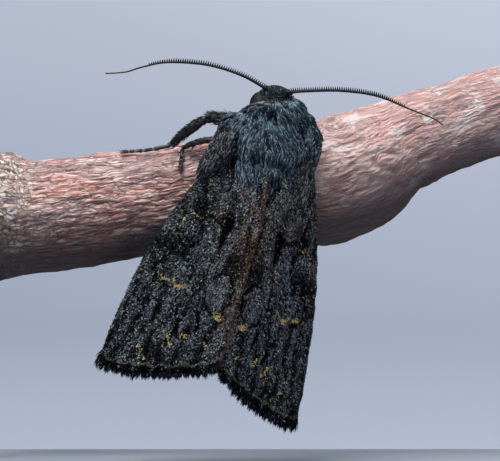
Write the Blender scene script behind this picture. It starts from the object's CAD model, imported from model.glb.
import math

import bmesh
import bpy
import numpy as np
from mathutils import Matrix, Vector, noise


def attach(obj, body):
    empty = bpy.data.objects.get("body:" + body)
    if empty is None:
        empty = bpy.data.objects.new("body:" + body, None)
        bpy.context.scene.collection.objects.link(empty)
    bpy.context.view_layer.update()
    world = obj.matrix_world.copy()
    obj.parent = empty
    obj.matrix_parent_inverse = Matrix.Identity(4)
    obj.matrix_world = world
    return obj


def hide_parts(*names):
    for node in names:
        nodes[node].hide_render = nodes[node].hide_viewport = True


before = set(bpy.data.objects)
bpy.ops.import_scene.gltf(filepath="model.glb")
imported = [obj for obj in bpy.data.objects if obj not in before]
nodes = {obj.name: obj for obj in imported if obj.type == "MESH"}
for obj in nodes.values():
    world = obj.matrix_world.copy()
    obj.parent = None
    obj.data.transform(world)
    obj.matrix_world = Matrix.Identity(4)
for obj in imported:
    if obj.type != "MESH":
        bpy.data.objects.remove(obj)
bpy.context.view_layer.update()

mm = 0.001
bothSides = ((-1, "Left"), (1, "Right"))
print("frame loaded")

# The moth's own frame, as the solids have it: x to its right, y to its head, z to its back
moth = {
    "place": (1.99, -2.10, 25.96),
    "turn": 9.7,
    "pitch": 13.4,
    "lean": 16.3,
    "chestPlace": (-0.62, -0.4, 0.0),
    "chestTurn": 4.0,
    "collarPlace": (0.12, 1.38, 0.10),
    "collarTurn": 9.0,
    "headPlace": (-0.12, 2.75, 0.10),
    "headTurn": 6.0,
}


def turned(degrees, axis):
    return Matrix.Rotation(math.radians(degrees), 4, axis)


def shifted(place):
    return Matrix.Translation(Vector(place) * mm)


mothFrame = (
    shifted(moth["place"]) @ turned(moth["lean"], "Y") @ turned(-moth["pitch"], "X")
    @ turned(moth["turn"], "Z") @ turned(90, "X")
)
chestFrame = mothFrame @ shifted(moth["chestPlace"]) @ turned(moth["chestTurn"], "Z")
collarFrame = chestFrame @ shifted(moth["collarPlace"]) @ turned(moth["collarTurn"], "Z")
headFrame = chestFrame @ shifted(moth["headPlace"]) @ turned(moth["headTurn"], "Z")


# Small tools for meshes

def addObject(name, data):
    thing = bpy.data.objects.new(name, data)
    bpy.context.scene.collection.objects.link(thing)
    return thing


def finishObject(name, bm, material):
    mesh = bpy.data.meshes.new(name)
    bm.to_mesh(mesh)
    bm.free()
    mesh.materials.append(material)
    mesh.shade_smooth()
    return addObject(name, mesh)


def rework(mesh, work):
    # runs work on a finished mesh, as a bmesh
    bm = bmesh.new()
    bm.from_mesh(mesh)
    work(bm)
    bm.to_mesh(mesh)
    bm.free()
    mesh.shade_smooth()


def ridePiece(thing, slot, *stoodFor):
    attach(thing, "root")
    if stoodFor:
        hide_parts(*stoodFor)


def readAll(items, name, width, kind=float):
    # one row of values for each item
    values = np.empty(len(items) * width, dtype=kind)
    items.foreach_get(name, values)
    return values.reshape(-1, width)


def places(mesh):
    return readAll(mesh.vertices, "co", 3)


def placeAll(mesh, spots):
    mesh.vertices.foreach_set("co", np.ascontiguousarray(spots, dtype=np.float32).ravel())
    mesh.update()


def paint(mesh, name, colours):
    # colours holds one linear colour for each vertex
    layer = mesh.color_attributes.new(name, "FLOAT_COLOR", "POINT")
    full = np.ones((len(colours), 4), dtype=np.float32)
    full[:, :3] = colours
    layer.data.foreach_set("color", full.ravel())


def moved(spots, frameMatrix):
    turn = np.array(frameMatrix.to_3x3())
    return spots @ turn.T + np.array(frameMatrix.translation)


def turnedOnly(directions, frameMatrix):
    return directions @ np.array(frameMatrix.to_3x3()).T


def unit(rows):
    return rows / np.maximum(np.linalg.norm(rows, axis=1, keepdims=True), 1e-12)


def laidOn(lie, out, share=1.0):
    # lie turned down onto the surface that out stands on; a share under 1 leaves it partly raised
    return unit(lie - out * (lie * out).sum(axis=1, keepdims=True) * share)


def held(share):
    return np.clip(share, 0, 1)


def eased(share):
    return share * share * (3 - 2 * share)


def bell(distance):
    return np.exp(-(distance**2))


def blended(first, second, share):
    return np.asarray(first) * (1 - share) + np.asarray(second) * share


def flatGrid(name, settings, material):
    # a flat sheet, with how far each point is along it and across it
    bm = bmesh.new()
    bmesh.ops.create_grid(bm, x_segments=settings["gridAlong"], y_segments=settings["gridAcross"], size=0.5)
    sheet = finishObject(name, bm, material)
    spots = places(sheet.data)
    return sheet, spots[:, 0] + 0.5, spots[:, 1] + 0.5


def thicken(mesh, thickness, outward=None):
    # gives a sheet its thickness; outward, where it is given, is the side that faces out
    def work(bm):
        if outward is not None:
            bmesh.ops.recalc_face_normals(bm, faces=bm.faces)
            if sum(face.normal.dot(Vector(outward)) for face in bm.faces) < 0:
                bmesh.ops.reverse_faces(bm, faces=bm.faces)
        bmesh.ops.solidify(bm, geom=bm.faces, thickness=thickness * mm)
        bmesh.ops.recalc_face_normals(bm, faces=bm.faces)

    rework(mesh, work)


def curvePath(stations, count):
    # evenly spaced points on a smooth curve through the stations, in metres
    points = [Vector(station) * mm for station in stations]
    ends = [2 * points[0] - points[1], *points, 2 * points[-1] - points[-2]]
    fine = []
    for index in range(1, len(ends) - 2):
        a, b, c, d = ends[index - 1 : index + 3]
        for step in range(24):
            t = step / 24
            curve = 2 * b + (c - a) * t + (2 * a - 5 * b + 4 * c - d) * t**2
            fine.append((curve + (3 * b - a - 3 * c + d) * t**3) / 2)
    fine.append(points[-1])
    fine = np.array(fine)
    reach = np.concatenate(([0], np.cumsum(np.linalg.norm(np.diff(fine, axis=0), axis=1))))
    wanted = np.linspace(0, reach[-1], count)
    return np.stack([np.interp(wanted, reach, fine[:, axis]) for axis in range(3)], axis=1)


def pathFrames(path, up):
    along = unit(np.gradient(path, axis=0))
    wide = unit(np.cross(along, np.array(up, dtype=float)))
    return along, wide, np.cross(wide, along)


def tubeAlong(path, up, sides, reach):
    # a grid wrapped into a closed tube; reach(station, angle) gives its radius there
    count = len(path)
    along, wide, high = pathFrames(path, up)
    bm = bmesh.new()
    bmesh.ops.create_grid(bm, x_segments=count - 1, y_segments=sides, size=0.5)
    turn = bm.verts.layers.float.new("turn")
    ring = bm.verts.layers.int.new("ring")
    for vert in bm.verts:
        station = min(count - 1, round((vert.co.x + 0.5) * (count - 1)))
        angle = 2 * math.pi * (vert.co.y + 0.5)
        vert[turn] = angle
        vert[ring] = station
        out = wide[station] * math.cos(angle) + high[station] * math.sin(angle)
        vert.co = Vector(path[station] + out * reach(station, angle))
    bmesh.ops.remove_doubles(bm, verts=bm.verts, dist=1e-7)
    bmesh.ops.holes_fill(bm, edges=[edge for edge in bm.edges if edge.is_boundary])
    bmesh.ops.recalc_face_normals(bm, faces=bm.faces)
    return bm


def joinInto(bm, other):
    mesh = bpy.data.meshes.new("part")
    other.to_mesh(mesh)
    other.free()
    bm.from_mesh(mesh)
    bpy.data.meshes.remove(mesh)


def addSpike(bm, root, course, length, thick, thin, sides):
    # a closed cone that stands on root and points along course
    cone = bmesh.ops.create_cone(
        bm, cap_ends=True, segments=sides, radius1=thick * mm, radius2=thin * mm, depth=length
    )
    turn = course.to_track_quat("Z", "Y").to_matrix().to_4x4()
    middle = Matrix.Translation(root + course * (length / 2))
    bmesh.ops.transform(bm, matrix=middle @ turn, verts=cone["verts"])


# Small tools for materials

def newMaterial(name, roughness):
    material = bpy.data.materials.new(name)
    material.use_nodes = True
    tree = material.node_tree
    shader = tree.nodes["Principled BSDF"]
    shader.inputs["Roughness"].default_value = roughness
    return material, tree, shader


def addNode(tree, kind, settings=None, **links):
    node = tree.nodes.new("ShaderNode" + kind)
    for name, value in (settings or {}).items():
        if hasattr(node, name):
            setattr(node, name, value)
        else:
            node.inputs[name].default_value = value
    for name, source in links.items():
        tree.links.new(source, node.inputs[name])
    return node


def ramp(tree, source, stops):
    # each stop is a place with a colour or a grey
    node = addNode(tree, "ValToRGB", Fac=source)
    while len(node.color_ramp.elements) < len(stops):
        node.color_ramp.elements.new(0.5)
    for element, (place, colour) in zip(node.color_ramp.elements, stops):
        element.position = place
        element.color = (*colour, 1) if isinstance(colour, tuple) else (colour, colour, colour, 1)
    return node.outputs["Color"]


def mixColours(tree, factor, first, second, blend="MIX"):
    node = addNode(tree, "Mix", {"data_type": "RGBA", "blend_type": blend})
    for socket, value in ((node.inputs[0], factor), (node.inputs[6], first), (node.inputs[7], second)):
        if isinstance(value, bpy.types.NodeSocket):
            tree.links.new(value, socket)
        elif isinstance(value, (int, float)):
            socket.default_value = value
        else:
            socket.default_value = (*value, 1)
    return node.outputs[2]


def bumpFrom(tree, shader, height, strength, distance):
    bump = addNode(tree, "Bump", {"Strength": strength, "Distance": distance}, Height=height)
    tree.links.new(bump.outputs["Normal"], shader.inputs["Normal"])


def spanned(tree, source, low, high, most, curve="LINEAR"):
    # 0 at low, changing to most at high
    settings = {"interpolation_type": curve, "From Min": low, "From Max": high, "To Max": most}
    return addNode(tree, "MapRange", settings, Value=source).outputs["Result"]


def combined(tree, operation, first, second):
    node = addNode(tree, "Math", {"operation": operation})
    tree.links.new(first, node.inputs[0])
    tree.links.new(second, node.inputs[1])
    return node.outputs[0]


def patternOf(tree, place, kind, settings):
    node = addNode(tree, "Tex" + kind, settings, Vector=place)
    return node.outputs["Distance" if kind == "Voronoi" else "Fac"]


def scaled(tree, place, scale, offset=0.0):
    settings = {"Scale": scale, "Location": (offset, offset, 0)}
    return addNode(tree, "Mapping", settings, Vector=place).outputs["Vector"]


def placeOf(tree, attribute=None):
    if attribute:
        return addNode(tree, "Attribute", {"attribute_name": attribute}).outputs["Vector"]
    return addNode(tree, "TexCoord").outputs["Object"]


def finish(name, look):
    # a material from one fine pattern, which colours it or shades the layer painted on the piece
    material, tree, shader = newMaterial(name, look["roughness"])
    place = placeOf(tree, look.get("attribute"))
    if "stretch" in look:
        place = scaled(tree, place, look["stretch"])
    grain = patternOf(tree, place, *look["grain"])
    colour = ramp(tree, grain, look["shades"])
    if "painted" in look:
        layer = addNode(tree, "VertexColor", {"layer_name": look["painted"]})
        colour = mixColours(tree, 1.0, layer.outputs["Color"], colour, "MULTIPLY")
    if "broad" in look:
        broad = ramp(tree, patternOf(tree, place, *look["broad"]), look["broadShades"])
        colour = mixColours(tree, 1.0, colour, broad, "MULTIPLY")
    tree.links.new(colour, shader.inputs["Base Color"])
    if "bump" in look:
        height = patternOf(tree, place, *look["relief"]) if "relief" in look else grain
        bumpFrom(tree, shader, height, *look["bump"])
    if "roughSpan" in look:
        low, high = look["roughSpan"]
        span = addNode(tree, "MapRange", {"To Min": low, "To Max": high}, Value=grain)
        tree.links.new(span.outputs["Result"], shader.inputs["Roughness"])
    for socket, value in look.get("sockets", {}).items():
        shader.inputs[socket].default_value = value
    return material


# Tufts and scales: many small closed solids joined in one mesh

def solidTufts(name, root, lie, out, length, width, settings, colour, tint, patch, material, slot):
    # each tuft is a three-sided spike in two steps, bent along its lie; the arrays hold one row a tuft
    across = unit(np.cross(lie, out))
    verts = np.empty((len(root), 7, 3))
    curl = length * settings["lift"]
    thick = out * (width * settings["flat"])[:, None]
    for ring, narrow in enumerate((1.0, 0.82)):
        share = settings["shares"][ring]
        rise = np.sin(share * math.pi * 0.8) * curl - (settings["sink"] * mm if ring == 0 else 0)
        centre = root + lie * (length * share)[:, None] + out * rise[:, None]
        wide = across * (width * narrow / 2)[:, None]
        verts[:, ring * 3] = centre - wide - thick / 3
        verts[:, ring * 3 + 1] = centre + wide - thick / 3
        verts[:, ring * 3 + 2] = centre + thick * 2 / 3
    verts[:, 6] = root + lie * length[:, None] + out * (math.sin(math.pi * 0.8) * curl)[:, None]
    faces = ((0, 1, 4, 3), (1, 2, 5, 4), (2, 0, 3, 5), (3, 4, 6), (4, 5, 6), (5, 3, 6), (2, 1, 0))
    joinSolids(name, verts, faces, colour, tint, (0, 0, 0, 0.6, 0.6, 0.6, 1.0), patch, material, slot)


def solidScales(name, root, lie, out, length, width, settings, colour, tint, patch, material, slot):
    # each scale is a low five-cornered wedge: two root corners, two tip corners and a ridge point
    verts = np.empty((len(root), 5, 3))
    half = unit(np.cross(lie, out)) * width[:, None] / 2
    tip = root + lie * length[:, None] + out * (length * settings["tilt"])[:, None]
    low = root - out * (settings["sink"] * mm)
    verts[:, 0] = low - half * 0.7
    verts[:, 1] = low + half * 0.7
    verts[:, 2] = tip + half
    verts[:, 3] = tip - half
    verts[:, 4] = root + lie * (length * 0.7)[:, None] + out * (settings["ridge"] * mm)
    faces = ((3, 2, 1, 0), (0, 1, 4), (1, 2, 4), (2, 3, 4), (3, 0, 4))
    joinSolids(name, verts, faces, colour, tint, (0, 0, 1, 1, 0.6), patch, material, slot)


def joinSolids(name, verts, faces, colour, tint, tintShares, patch, material, slot):
    count, size = verts.shape[:2]
    mesh = bpy.data.meshes.new(name)
    mesh.vertices.add(count * size)
    mesh.vertices.foreach_set("co", verts.astype(np.float32).ravel())
    flat = np.array([corner for face in faces for corner in face])
    loops = (flat[None, :] + (np.arange(count) * size)[:, None]).ravel()
    mesh.loops.add(len(loops))
    mesh.loops.foreach_set("vertex_index", loops.astype(np.int32))
    mesh.polygons.add(count * len(faces))
    totals = np.tile([len(face) for face in faces], count)
    starts = np.concatenate(([0], np.cumsum(totals[:-1])))
    mesh.polygons.foreach_set("loop_start", starts.astype(np.int32))
    mesh.update(calc_edges=True)
    shade = np.array(tintShares)[None, :, None]
    paint(mesh, "coatColour", blended(colour[:, None, :], tint[:, None, :], shade).reshape(-1, 3))
    # the bake map: one small patch a tuft, at its root's place on the unwrap
    spread = np.linspace(0, 2 * math.pi, size, endpoint=False)
    offsets = 0.0015 * np.stack([np.cos(spread), np.sin(spread)], axis=1)
    spots = (patch[:, None, :] * 0.99 + 0.005 + offsets[None, :, :]).reshape(-1, 2)
    layer = mesh.uv_layers.new(name="OFBake")
    layer.data.foreach_set("uv", spots[loops].astype(np.float32).ravel())
    mesh.materials.append(material)
    ridePiece(addObject(name, mesh), slot)


def coatMaterial(name, roughness, specular):
    return finish(name, {
        "roughness": roughness,
        "roughSpan": (roughness - 0.08, roughness + 0.10),
        "painted": "coatColour",
        "grain": ("Noise", {"Scale": 9000.0, "Detail": 2.0}),
        "shades": ((0.3, 0.72), (0.7, 1.0)),
        "sockets": {"Specular IOR Level": specular, "Specular Tint": (0.55, 0.74, 0.92, 1)},
    })


# Forewings: u runs along the leading edge from the root, v across it, in mm
wing = {
    "root": (3.23, 0.0, -0.585),
    "slope": 36.4,
    "sweep": {-1: 18.0, 1: 19.0},
    "rise": 2.2,
    "rootFront": (-0.6, 0.9),
    "rootBack": (-0.4, 2.2),
    "apex": (19.45, 0.95),
    "tornus": (15.6, 9.12),
    "costaBulge": 1.40,
    "termenBulge": 0.60,
    "dorsumBulge": 3.6,
    "camber": 0.40,
    "frontDroop": 0.30,
    "veins": (0.07, 0.19, 0.31, 0.43, 0.55, 0.67, 0.79, 0.90),
    "veinHeight": 0.15,
    "veinWidth": 0.020,
    "thickness": 0.16,
    "innerLip": (0.20, 0.36),
    "lipRise": {-1: 0.05, 1: -0.24, 0: 0.0},
    "mapSize": (21.0, 11.0),
    "mapEdge": (0.04, 0.05),
    "gridAlong": 160,
    "gridAcross": 86,
}
# How far the marks rise or sink, in mm
wingDepths = {
    "roll": 0.055,
    "ripple": 0.035,
    "spot": 0.12,
    "rim": 0.11,
    "black": 0.18,
    "wedge": 0.22,
    "stroke": 0.09,
}
# How bright the scales are, and what share of them is pale: all over, in patches, on furrows and at the root
wingTone = {
    "light": (1.24, 0.80, 0.70, 0.50),
    "pale": (0.34, 0.30, 0.14),
    "paleLimits": (0.02, 0.7),
    "warmth": (0.55, 0.30, 0.10),
}
ink = {
    "black": (0.0025, 0.0030, 0.0040),
    "dark": (0.016, 0.020, 0.027),
    "ground": (0.031, 0.035, 0.041),
    "pale": (0.350, 0.400, 0.440),
    "under": (0.030, 0.028, 0.030),
    "grey": (0.046, 0.050, 0.060),
    "mauve": (0.085, 0.080, 0.098),
    "brown": (0.098, 0.064, 0.044),
    "yellow": (0.74, 0.56, 0.24),
    "cream": (0.46, 0.42, 0.33),
}


def outline(s, t):
    # planform in mm: s from root to outer edge, t from the leading to the inner edge
    front, back = np.array(wing["rootFront"]), np.array(wing["rootBack"])
    apex, tornus = np.array(wing["apex"]), np.array(wing["tornus"])
    root = front + (back - front) * t[..., None]
    chord = (tornus - apex) / np.linalg.norm(tornus - apex)
    corner = -0.7 * np.maximum(0, 1 - t / 0.14) ** 2 - 0.9 * np.maximum(0, (t - 0.86) / 0.14) ** 2
    bulge = wing["termenBulge"] * (4 * t * (1 - t) + corner)
    edge = apex + (tornus - apex) * t[..., None] + np.array([chord[1], -chord[0]]) * bulge[..., None]
    place = root + (edge - root) * s[..., None]
    place[..., 1] -= wing["costaBulge"] * (1 - t) * np.sin(math.pi * s)
    place[..., 1] += wing["dorsumBulge"] * t * np.sqrt(s) * np.maximum(0, 1 - s) ** 1.3
    # the inner edges reach a little past the solids' gap, so one wing closes over the other
    near, far = wing["innerLip"]
    place[..., 1] += (near + (far - near) * s) * lipShare(t) * np.minimum(1, s * 5)
    return place


def lipShare(t):
    return held((t - 0.8) / 0.2) ** 2


def wingNormal(side):
    slope, rise = math.radians(wing["slope"]), math.radians(wing["rise"])
    across = (side * math.sin(slope) * math.cos(rise), math.cos(slope) * math.sin(rise))
    return np.array(Vector((*across, math.cos(slope) * math.cos(rise))).normalized())


def wingOut(side):
    # the same direction in the scene
    return turnedOnly(wingNormal(side)[None, :], mothFrame)[0]


def wingPlace(side, place, height):
    # a point of the wing in the scene, in metres
    slope, rise = math.radians(wing["slope"]), math.radians(wing["rise"])
    sweep = math.radians(wing["sweep"][side])
    u, v = place[..., 0], place[..., 1]
    back = u * math.cos(sweep) + v * math.sin(sweep)
    out = u * math.sin(sweep) - v * math.cos(sweep)
    rootX, rootY, rootZ = wing["root"]
    x = side * (rootX + out * math.cos(slope))
    y = rootY - back * math.cos(rise)
    z = rootZ - out * math.sin(slope) + back * math.sin(rise)
    spot = np.stack([x, y, z], axis=-1) + wingNormal(side) * height[..., None]
    return moved(spot * mm, mothFrame)


def wingHeight(s, t, side=0):
    crown = wing["camber"] * 4 * t * (1 - t) * np.sin(math.pi * np.minimum(1, 0.25 + 0.6 * s))
    droop = wing["frontDroop"] * np.maximum(0, 1 - t / 0.10) ** 2
    return crown - droop + wing["lipRise"][side] * lipShare(t)


def wingSurface(side, s, t):
    height = wingHeight(s, t, side) + wingRelief(s, t) + wing["thickness"] / 2
    return wingPlace(side, outline(s, t), height)


def wingPatch(s, t):
    # where a root at s, t lies on the coat's bake map
    return held(outline(s, t) / np.array(wing["mapSize"]) + np.array(wing["mapEdge"]))


def wingRelief(s, t):
    # veins stand up, the cells between them sag, the ringed spots swell and the black marks are hollows
    depths = wingDepths
    u, v = np.moveaxis(outline(s, t), -1, 0)
    ridge = np.zeros_like(s)
    for vein in wing["veins"]:
        drift = vein + 0.014 * np.sin(s * 7 + vein * 20)
        ridge += bell((t - drift) / wing["veinWidth"]) * np.minimum(1, s * 3)
    relief = wing["veinHeight"] * ridge * (0.45 + 0.55 * held((u - 9) / 4))
    relief += depths["roll"] * softNoise(u, v, 0.85, 61) + depths["ripple"] * softNoise(u * 0.6, v, 0.34, 62)
    for *oval, _, _ in markings["rings"]:
        distance = ovalDistance(u, v, *oval)
        relief += depths["spot"] * held(1 - distance**2) - depths["rim"] * bell((distance - 1.10) / 0.11)
    for name, strength, *oval in markings["fields"]:
        if name == "black":
            relief -= depths["black"] * strength * held((1.1 - ovalDistance(u, v, *oval)) / 0.45)
    for wedge in markings["wedges"]:
        relief -= depths["wedge"] * wedgeShare(u, v, *wedge)
    for stroke in markings["darkStrokes"]:
        relief -= depths["stroke"] * strokeShare(u, v, *stroke)
    return relief


def softNoise(u, v, size, seed):
    # smooth value noise on the wing, between -1 and 1
    table = np.random.default_rng(seed).uniform(-1, 1, (97, 97))
    x, y = u / size + 31.7, v / size + 17.3
    i, j = np.floor(x).astype(int), np.floor(y).astype(int)
    fx, fy = eased(x - i), eased(y - j)
    near, far = (blended(table[i % 97, row % 97], table[(i + 1) % 97, row % 97], fx) for row in (j, j + 1))
    return blended(near, far, fy)


def strokeShare(u, v, points, width):
    # 1 on a stroke through the points, falling to 0 past its half width
    best = np.full(u.shape, 1e9)
    for (ax, ay), (bx, by) in zip(points, points[1:]):
        dx, dy = bx - ax, by - ay
        along = held(((u - ax) * dx + (v - ay) * dy) / (dx * dx + dy * dy))
        best = np.minimum(best, np.hypot(u - ax - along * dx, v - ay - along * dy))
    return held(1.5 - best / width)


def wedgeShare(u, v, start, end, width):
    # 1 inside a wedge that is widest at its start and runs out at its end
    dx, dy = end[0] - start[0], end[1] - start[1]
    length = math.hypot(dx, dy)
    along = ((u - start[0]) * dx + (v - start[1]) * dy) / length**2
    aside = np.abs((u - start[0]) * dy - (v - start[1]) * dx) / length
    return held((width * held(1.05 - along) * held(along * 8 + 1) - aside) / 0.10)


def ovalDistance(u, v, centre, halves, lean):
    # under 1 inside the oval
    c, s = math.cos(math.radians(lean)), math.sin(math.radians(lean))
    x, y = (u - centre[0]) * c + (v - centre[1]) * s, (v - centre[1]) * c - (u - centre[0]) * s
    return np.hypot(x / halves[0], y / halves[1])


# Marks of the forewing: dark and brown fields first, then the ringed spots, then the pale strokes
markings = {
    "fields": (
        ("brown", 0.75, (5.6, 6.1), (3.8, 1.1), 12),
        ("brown", 0.65, (9.4, 7.9), (3.8, 1.0), 6),
        ("black", 0.50, (9.6, 1.5), (0.70, 1.6), 12),
        ("black", 0.60, (6.5, 1.7), (0.70, 0.60), 10),
        ("brown", 0.60, (6.0, 3.4), (0.65, 0.70), 0),
        ("black", 0.45, (11.6, 5.1), (1.7, 0.55), 25),
        ("black", 0.45, (8.8, 6.3), (0.9, 0.8), 20),
        ("dark", 0.50, (16.4, 5.8), (1.1, 3.0), 20),
    ),
    "rings": (
        ((8.05, 1.90), (1.25, 0.88), 35, "grey", 0.55),
        ((8.05, 1.90), (0.74, 0.48), 35, "dark", 0.30),
        ((11.1, 2.5), (1.05, 1.45), 20, "grey", 0.35),
        ((11.0, 2.6), (0.60, 0.90), 20, "black", 0.40),
        ((10.9, 6.4), (1.35, 0.90), 10, "mauve", 0.50),
    ),
    "wedges": (
        ((6.0, 4.05), (8.9, 4.80), 0.58),
    ),
    "darkStrokes": (
        (((3.4, 6.0), (6.0, 7.0), (8.6, 7.7)), 0.06),
        (((4.6, 5.2), (7.2, 6.3), (9.4, 7.1)), 0.05),
        (((2.2, 2.1), (4.3, 2.9)), 0.10),
        (((2.6, 4.2), (4.0, 5.3)), 0.20),
        (((6.4, 2.7), (6.6, 3.9)), 0.12),
        (((12.6, 1.2), (14.6, 1.5)), 0.14),
        (((13.0, 2.6), (15.0, 3.2)), 0.13),
        (((13.2, 4.3), (14.8, 5.3)), 0.14),
        (((12.9, 5.9), (14.6, 7.0)), 0.16),
        (((9.0, 4.7), (10.6, 4.9)), 0.10),
        (((4.9, 1.2), (5.9, 1.9)), 0.12),
    ),
    "paleStrokes": (
        ("yellow", ((3.7, 1.05), (4.9, 1.35)), 0.07, 0.75),
        ("yellow", ((6.95, 2.2), (6.9, 1.3), (7.4, 0.90), (8.5, 0.92)), 0.07, 0.75),
        ("yellow", ((11.8, 2.0), (11.85, 2.5)), 0.14, 0.80),
        ("yellow", ((11.6, 3.0), (11.9, 3.5)), 0.20, 1.00),
        ("yellow", ((11.7, 3.8), (11.8, 4.0)), 0.12, 0.80),
        ("yellow", ((10.3, 1.2), (10.9, 1.0)), 0.07, 0.55),
        ("yellow", ((12.0, 1.0), (12.05, 1.6)), 0.08, 0.60),
        ("yellow", ((12.0, 7.0), (12.5, 7.4)), 0.12, 0.75),
        ("yellow", ((15.2, 4.7), (15.8, 5.3)), 0.16, 0.85),
        ("yellow", ((13.9, 5.3), (14.5, 5.7), (15.0, 6.4)), 0.08, 0.60),
        ("cream", ((15.3, 3.9), (16.5, 4.1)), 0.07, 0.50),
        ("yellow", ((16.9, 3.3), (17.7, 4.1)), 0.10, 0.75),
        ("yellow", ((15.9, 2.6), (16.1, 2.8)), 0.10, 0.70),
        ("cream", ((15.0, 0.2), (15.5, 0.8)), 0.12, 0.45),
        ("cream", ((16.6, 0.4), (16.9, 0.4)), 0.10, 0.45),
        ("cream", ((17.6, 3.0), (17.8, 3.2)), 0.08, 0.45),
        ("yellow", ((14.2, 7.4), (15.2, 7.9)), 0.09, 0.50),
    ),
}


def wingColours(s, t, seed, grains):
    # one colour a point; grains scatters single pale and dark scales
    dice = np.random.default_rng(seed)
    u, v = outline(s, t).T
    tone = np.full(u.shape + (3,), ink["ground"])
    patchy = softNoise(u, v, 1.3, 5) * 0.5 + softNoise(u, v, 0.50, 6) * 0.5
    furrow = np.sin(v * 5.5 + 2.6 * softNoise(u, v, 2.2, 9) - u * 0.35)
    outer = held((u - 11) / 3)
    plainPale, patchyPale, furrowPale = wingTone["pale"]
    pale = plainPale + patchyPale * patchy + furrowPale * furrow * (0.4 + outer)
    plainLight, patchyLight, furrowLoss, rootLight = wingTone["light"]
    light = plainLight + patchyLight * patchy + rootLight * held(1 - u / 7)
    light *= 1 - furrowLoss * held(-furrow) * (0.45 + 0.55 * outer)
    # warm greys where the old scales are rubbed, past the middle and along the inner edge
    warmth = held(softNoise(u * 0.7, v, 1.9, 44) * 1.2 + 0.25 * (v > 4.5))
    tone *= 1 + warmth[:, None] * np.array(wingTone["warmth"])
    edgeNoise = 0.20 * softNoise(u, v, 0.36, 7) + 0.10 * softNoise(u, v, 0.13, 8)

    def mark(target, share, strength, paleLoss=0.0):
        # lays an ink over the tone, and takes pale scales away there
        tone[...] = blended(tone, ink[target], (share * strength)[:, None])
        pale[...] -= share * paleLoss

    for name, strength, *oval in markings["fields"]:
        inside = held((1.12 + edgeNoise - ovalDistance(u, v, *oval)) / 0.25)
        mark(name, inside, strength, (0.04 if name == "brown" else 0.34) * strength)
    for *oval, fill, strength in markings["rings"]:
        distance = ovalDistance(u, v, *oval) + edgeNoise * 0.5
        mark(fill, held((0.95 - distance) / 0.10), strength, -0.08)
        mark("black", held(1.4 - np.abs(distance - 1.06) / 0.10), 0.9, 0.30)
    for wedge in markings["wedges"]:
        mark("black", wedgeShare(u + edgeNoise * 0.4, v + edgeNoise * 0.4, *wedge), 1.0, 0.5)
    for stroke in markings["darkStrokes"]:
        mark("black", strokeShare(u + edgeNoise * 0.5, v + edgeNoise * 0.5, *stroke), 0.9, 0.30)
    # the thin scalloped line before the fringe, with black behind it
    scallop = 0.962 + 0.010 * np.abs(np.sin(v * 3.1 + u * 0.8 + 0.4 * softNoise(u, v, 1.0, 12)))
    mark("black", held((s - scallop) / 0.008), 0.85, 0.25)
    line = held(1.5 - np.abs(s - scallop) / 0.0045)
    if grains:
        lightScale = dice.uniform(0, 1, u.shape) < np.clip(pale, *wingTone["paleLimits"])
        amount = np.where(lightScale, dice.uniform(0.10, 1.0, u.shape) ** 1.5, 0)
        tone *= (dice.uniform(0.12, 1.45, u.shape) ** 2 * light)[:, None]
        mark("pale", amount, 1.0)
        line = line * (dice.uniform(0, 1, u.shape) < 0.75)
    else:
        tone *= 0.45
    mark("cream", line, 0.26)
    for name, points, width, strength in markings["paleStrokes"]:
        share = strokeShare(u + edgeNoise, v - edgeNoise, points, width * 0.80) * strength
        if grains:
            lit = dice.uniform(0, 1, u.shape) < share * 1.05
            share = np.where(lit, dice.uniform(0.5, 1.0, u.shape), 0)
        mark(name, share, 1.0)
    return tone


def buildForewing(side, word, skinMaterial, scaleMaterial):
    skin, along, t = flatGrid("forewing" + word, wing, skinMaterial)
    s = along**0.95
    placeAll(skin.data, wingSurface(side, s, t))
    paint(skin.data, "wingColour", wingColours(s, t, 11, False))
    outward = wingOut(side)
    thicken(skin.data, wing["thickness"], outward)
    # the underside is plain: the marks are on the upper side only
    painted = skin.data.color_attributes["wingColour"].data
    colours = readAll(painted, "color", 4)
    colours[readAll(skin.data.vertices, "normal", 3) @ outward < 0, :3] = ink["under"]
    painted.foreach_set("color", colours.ravel())
    ridePiece(skin, "wing_scales", "forewing_" + word.lower())
    for layer in wingCoat["layers"]:
        growWingScales(side, word, layer, scaleMaterial)
    for edge in ("outer", "inner"):
        growFringe(side, word, edge, scaleMaterial)


wingCoat = {
    "layers": "AB",
    "rows": 245,
    "perRow": 142,
    "length": (0.17, 0.26),
    "width": (0.082, 0.125),
    "spread": (0.16, 0.16, 0.22),
    "tilt": 0.16,
    "ridge": 0.035,
    "sink": 0.02,
}


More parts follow.
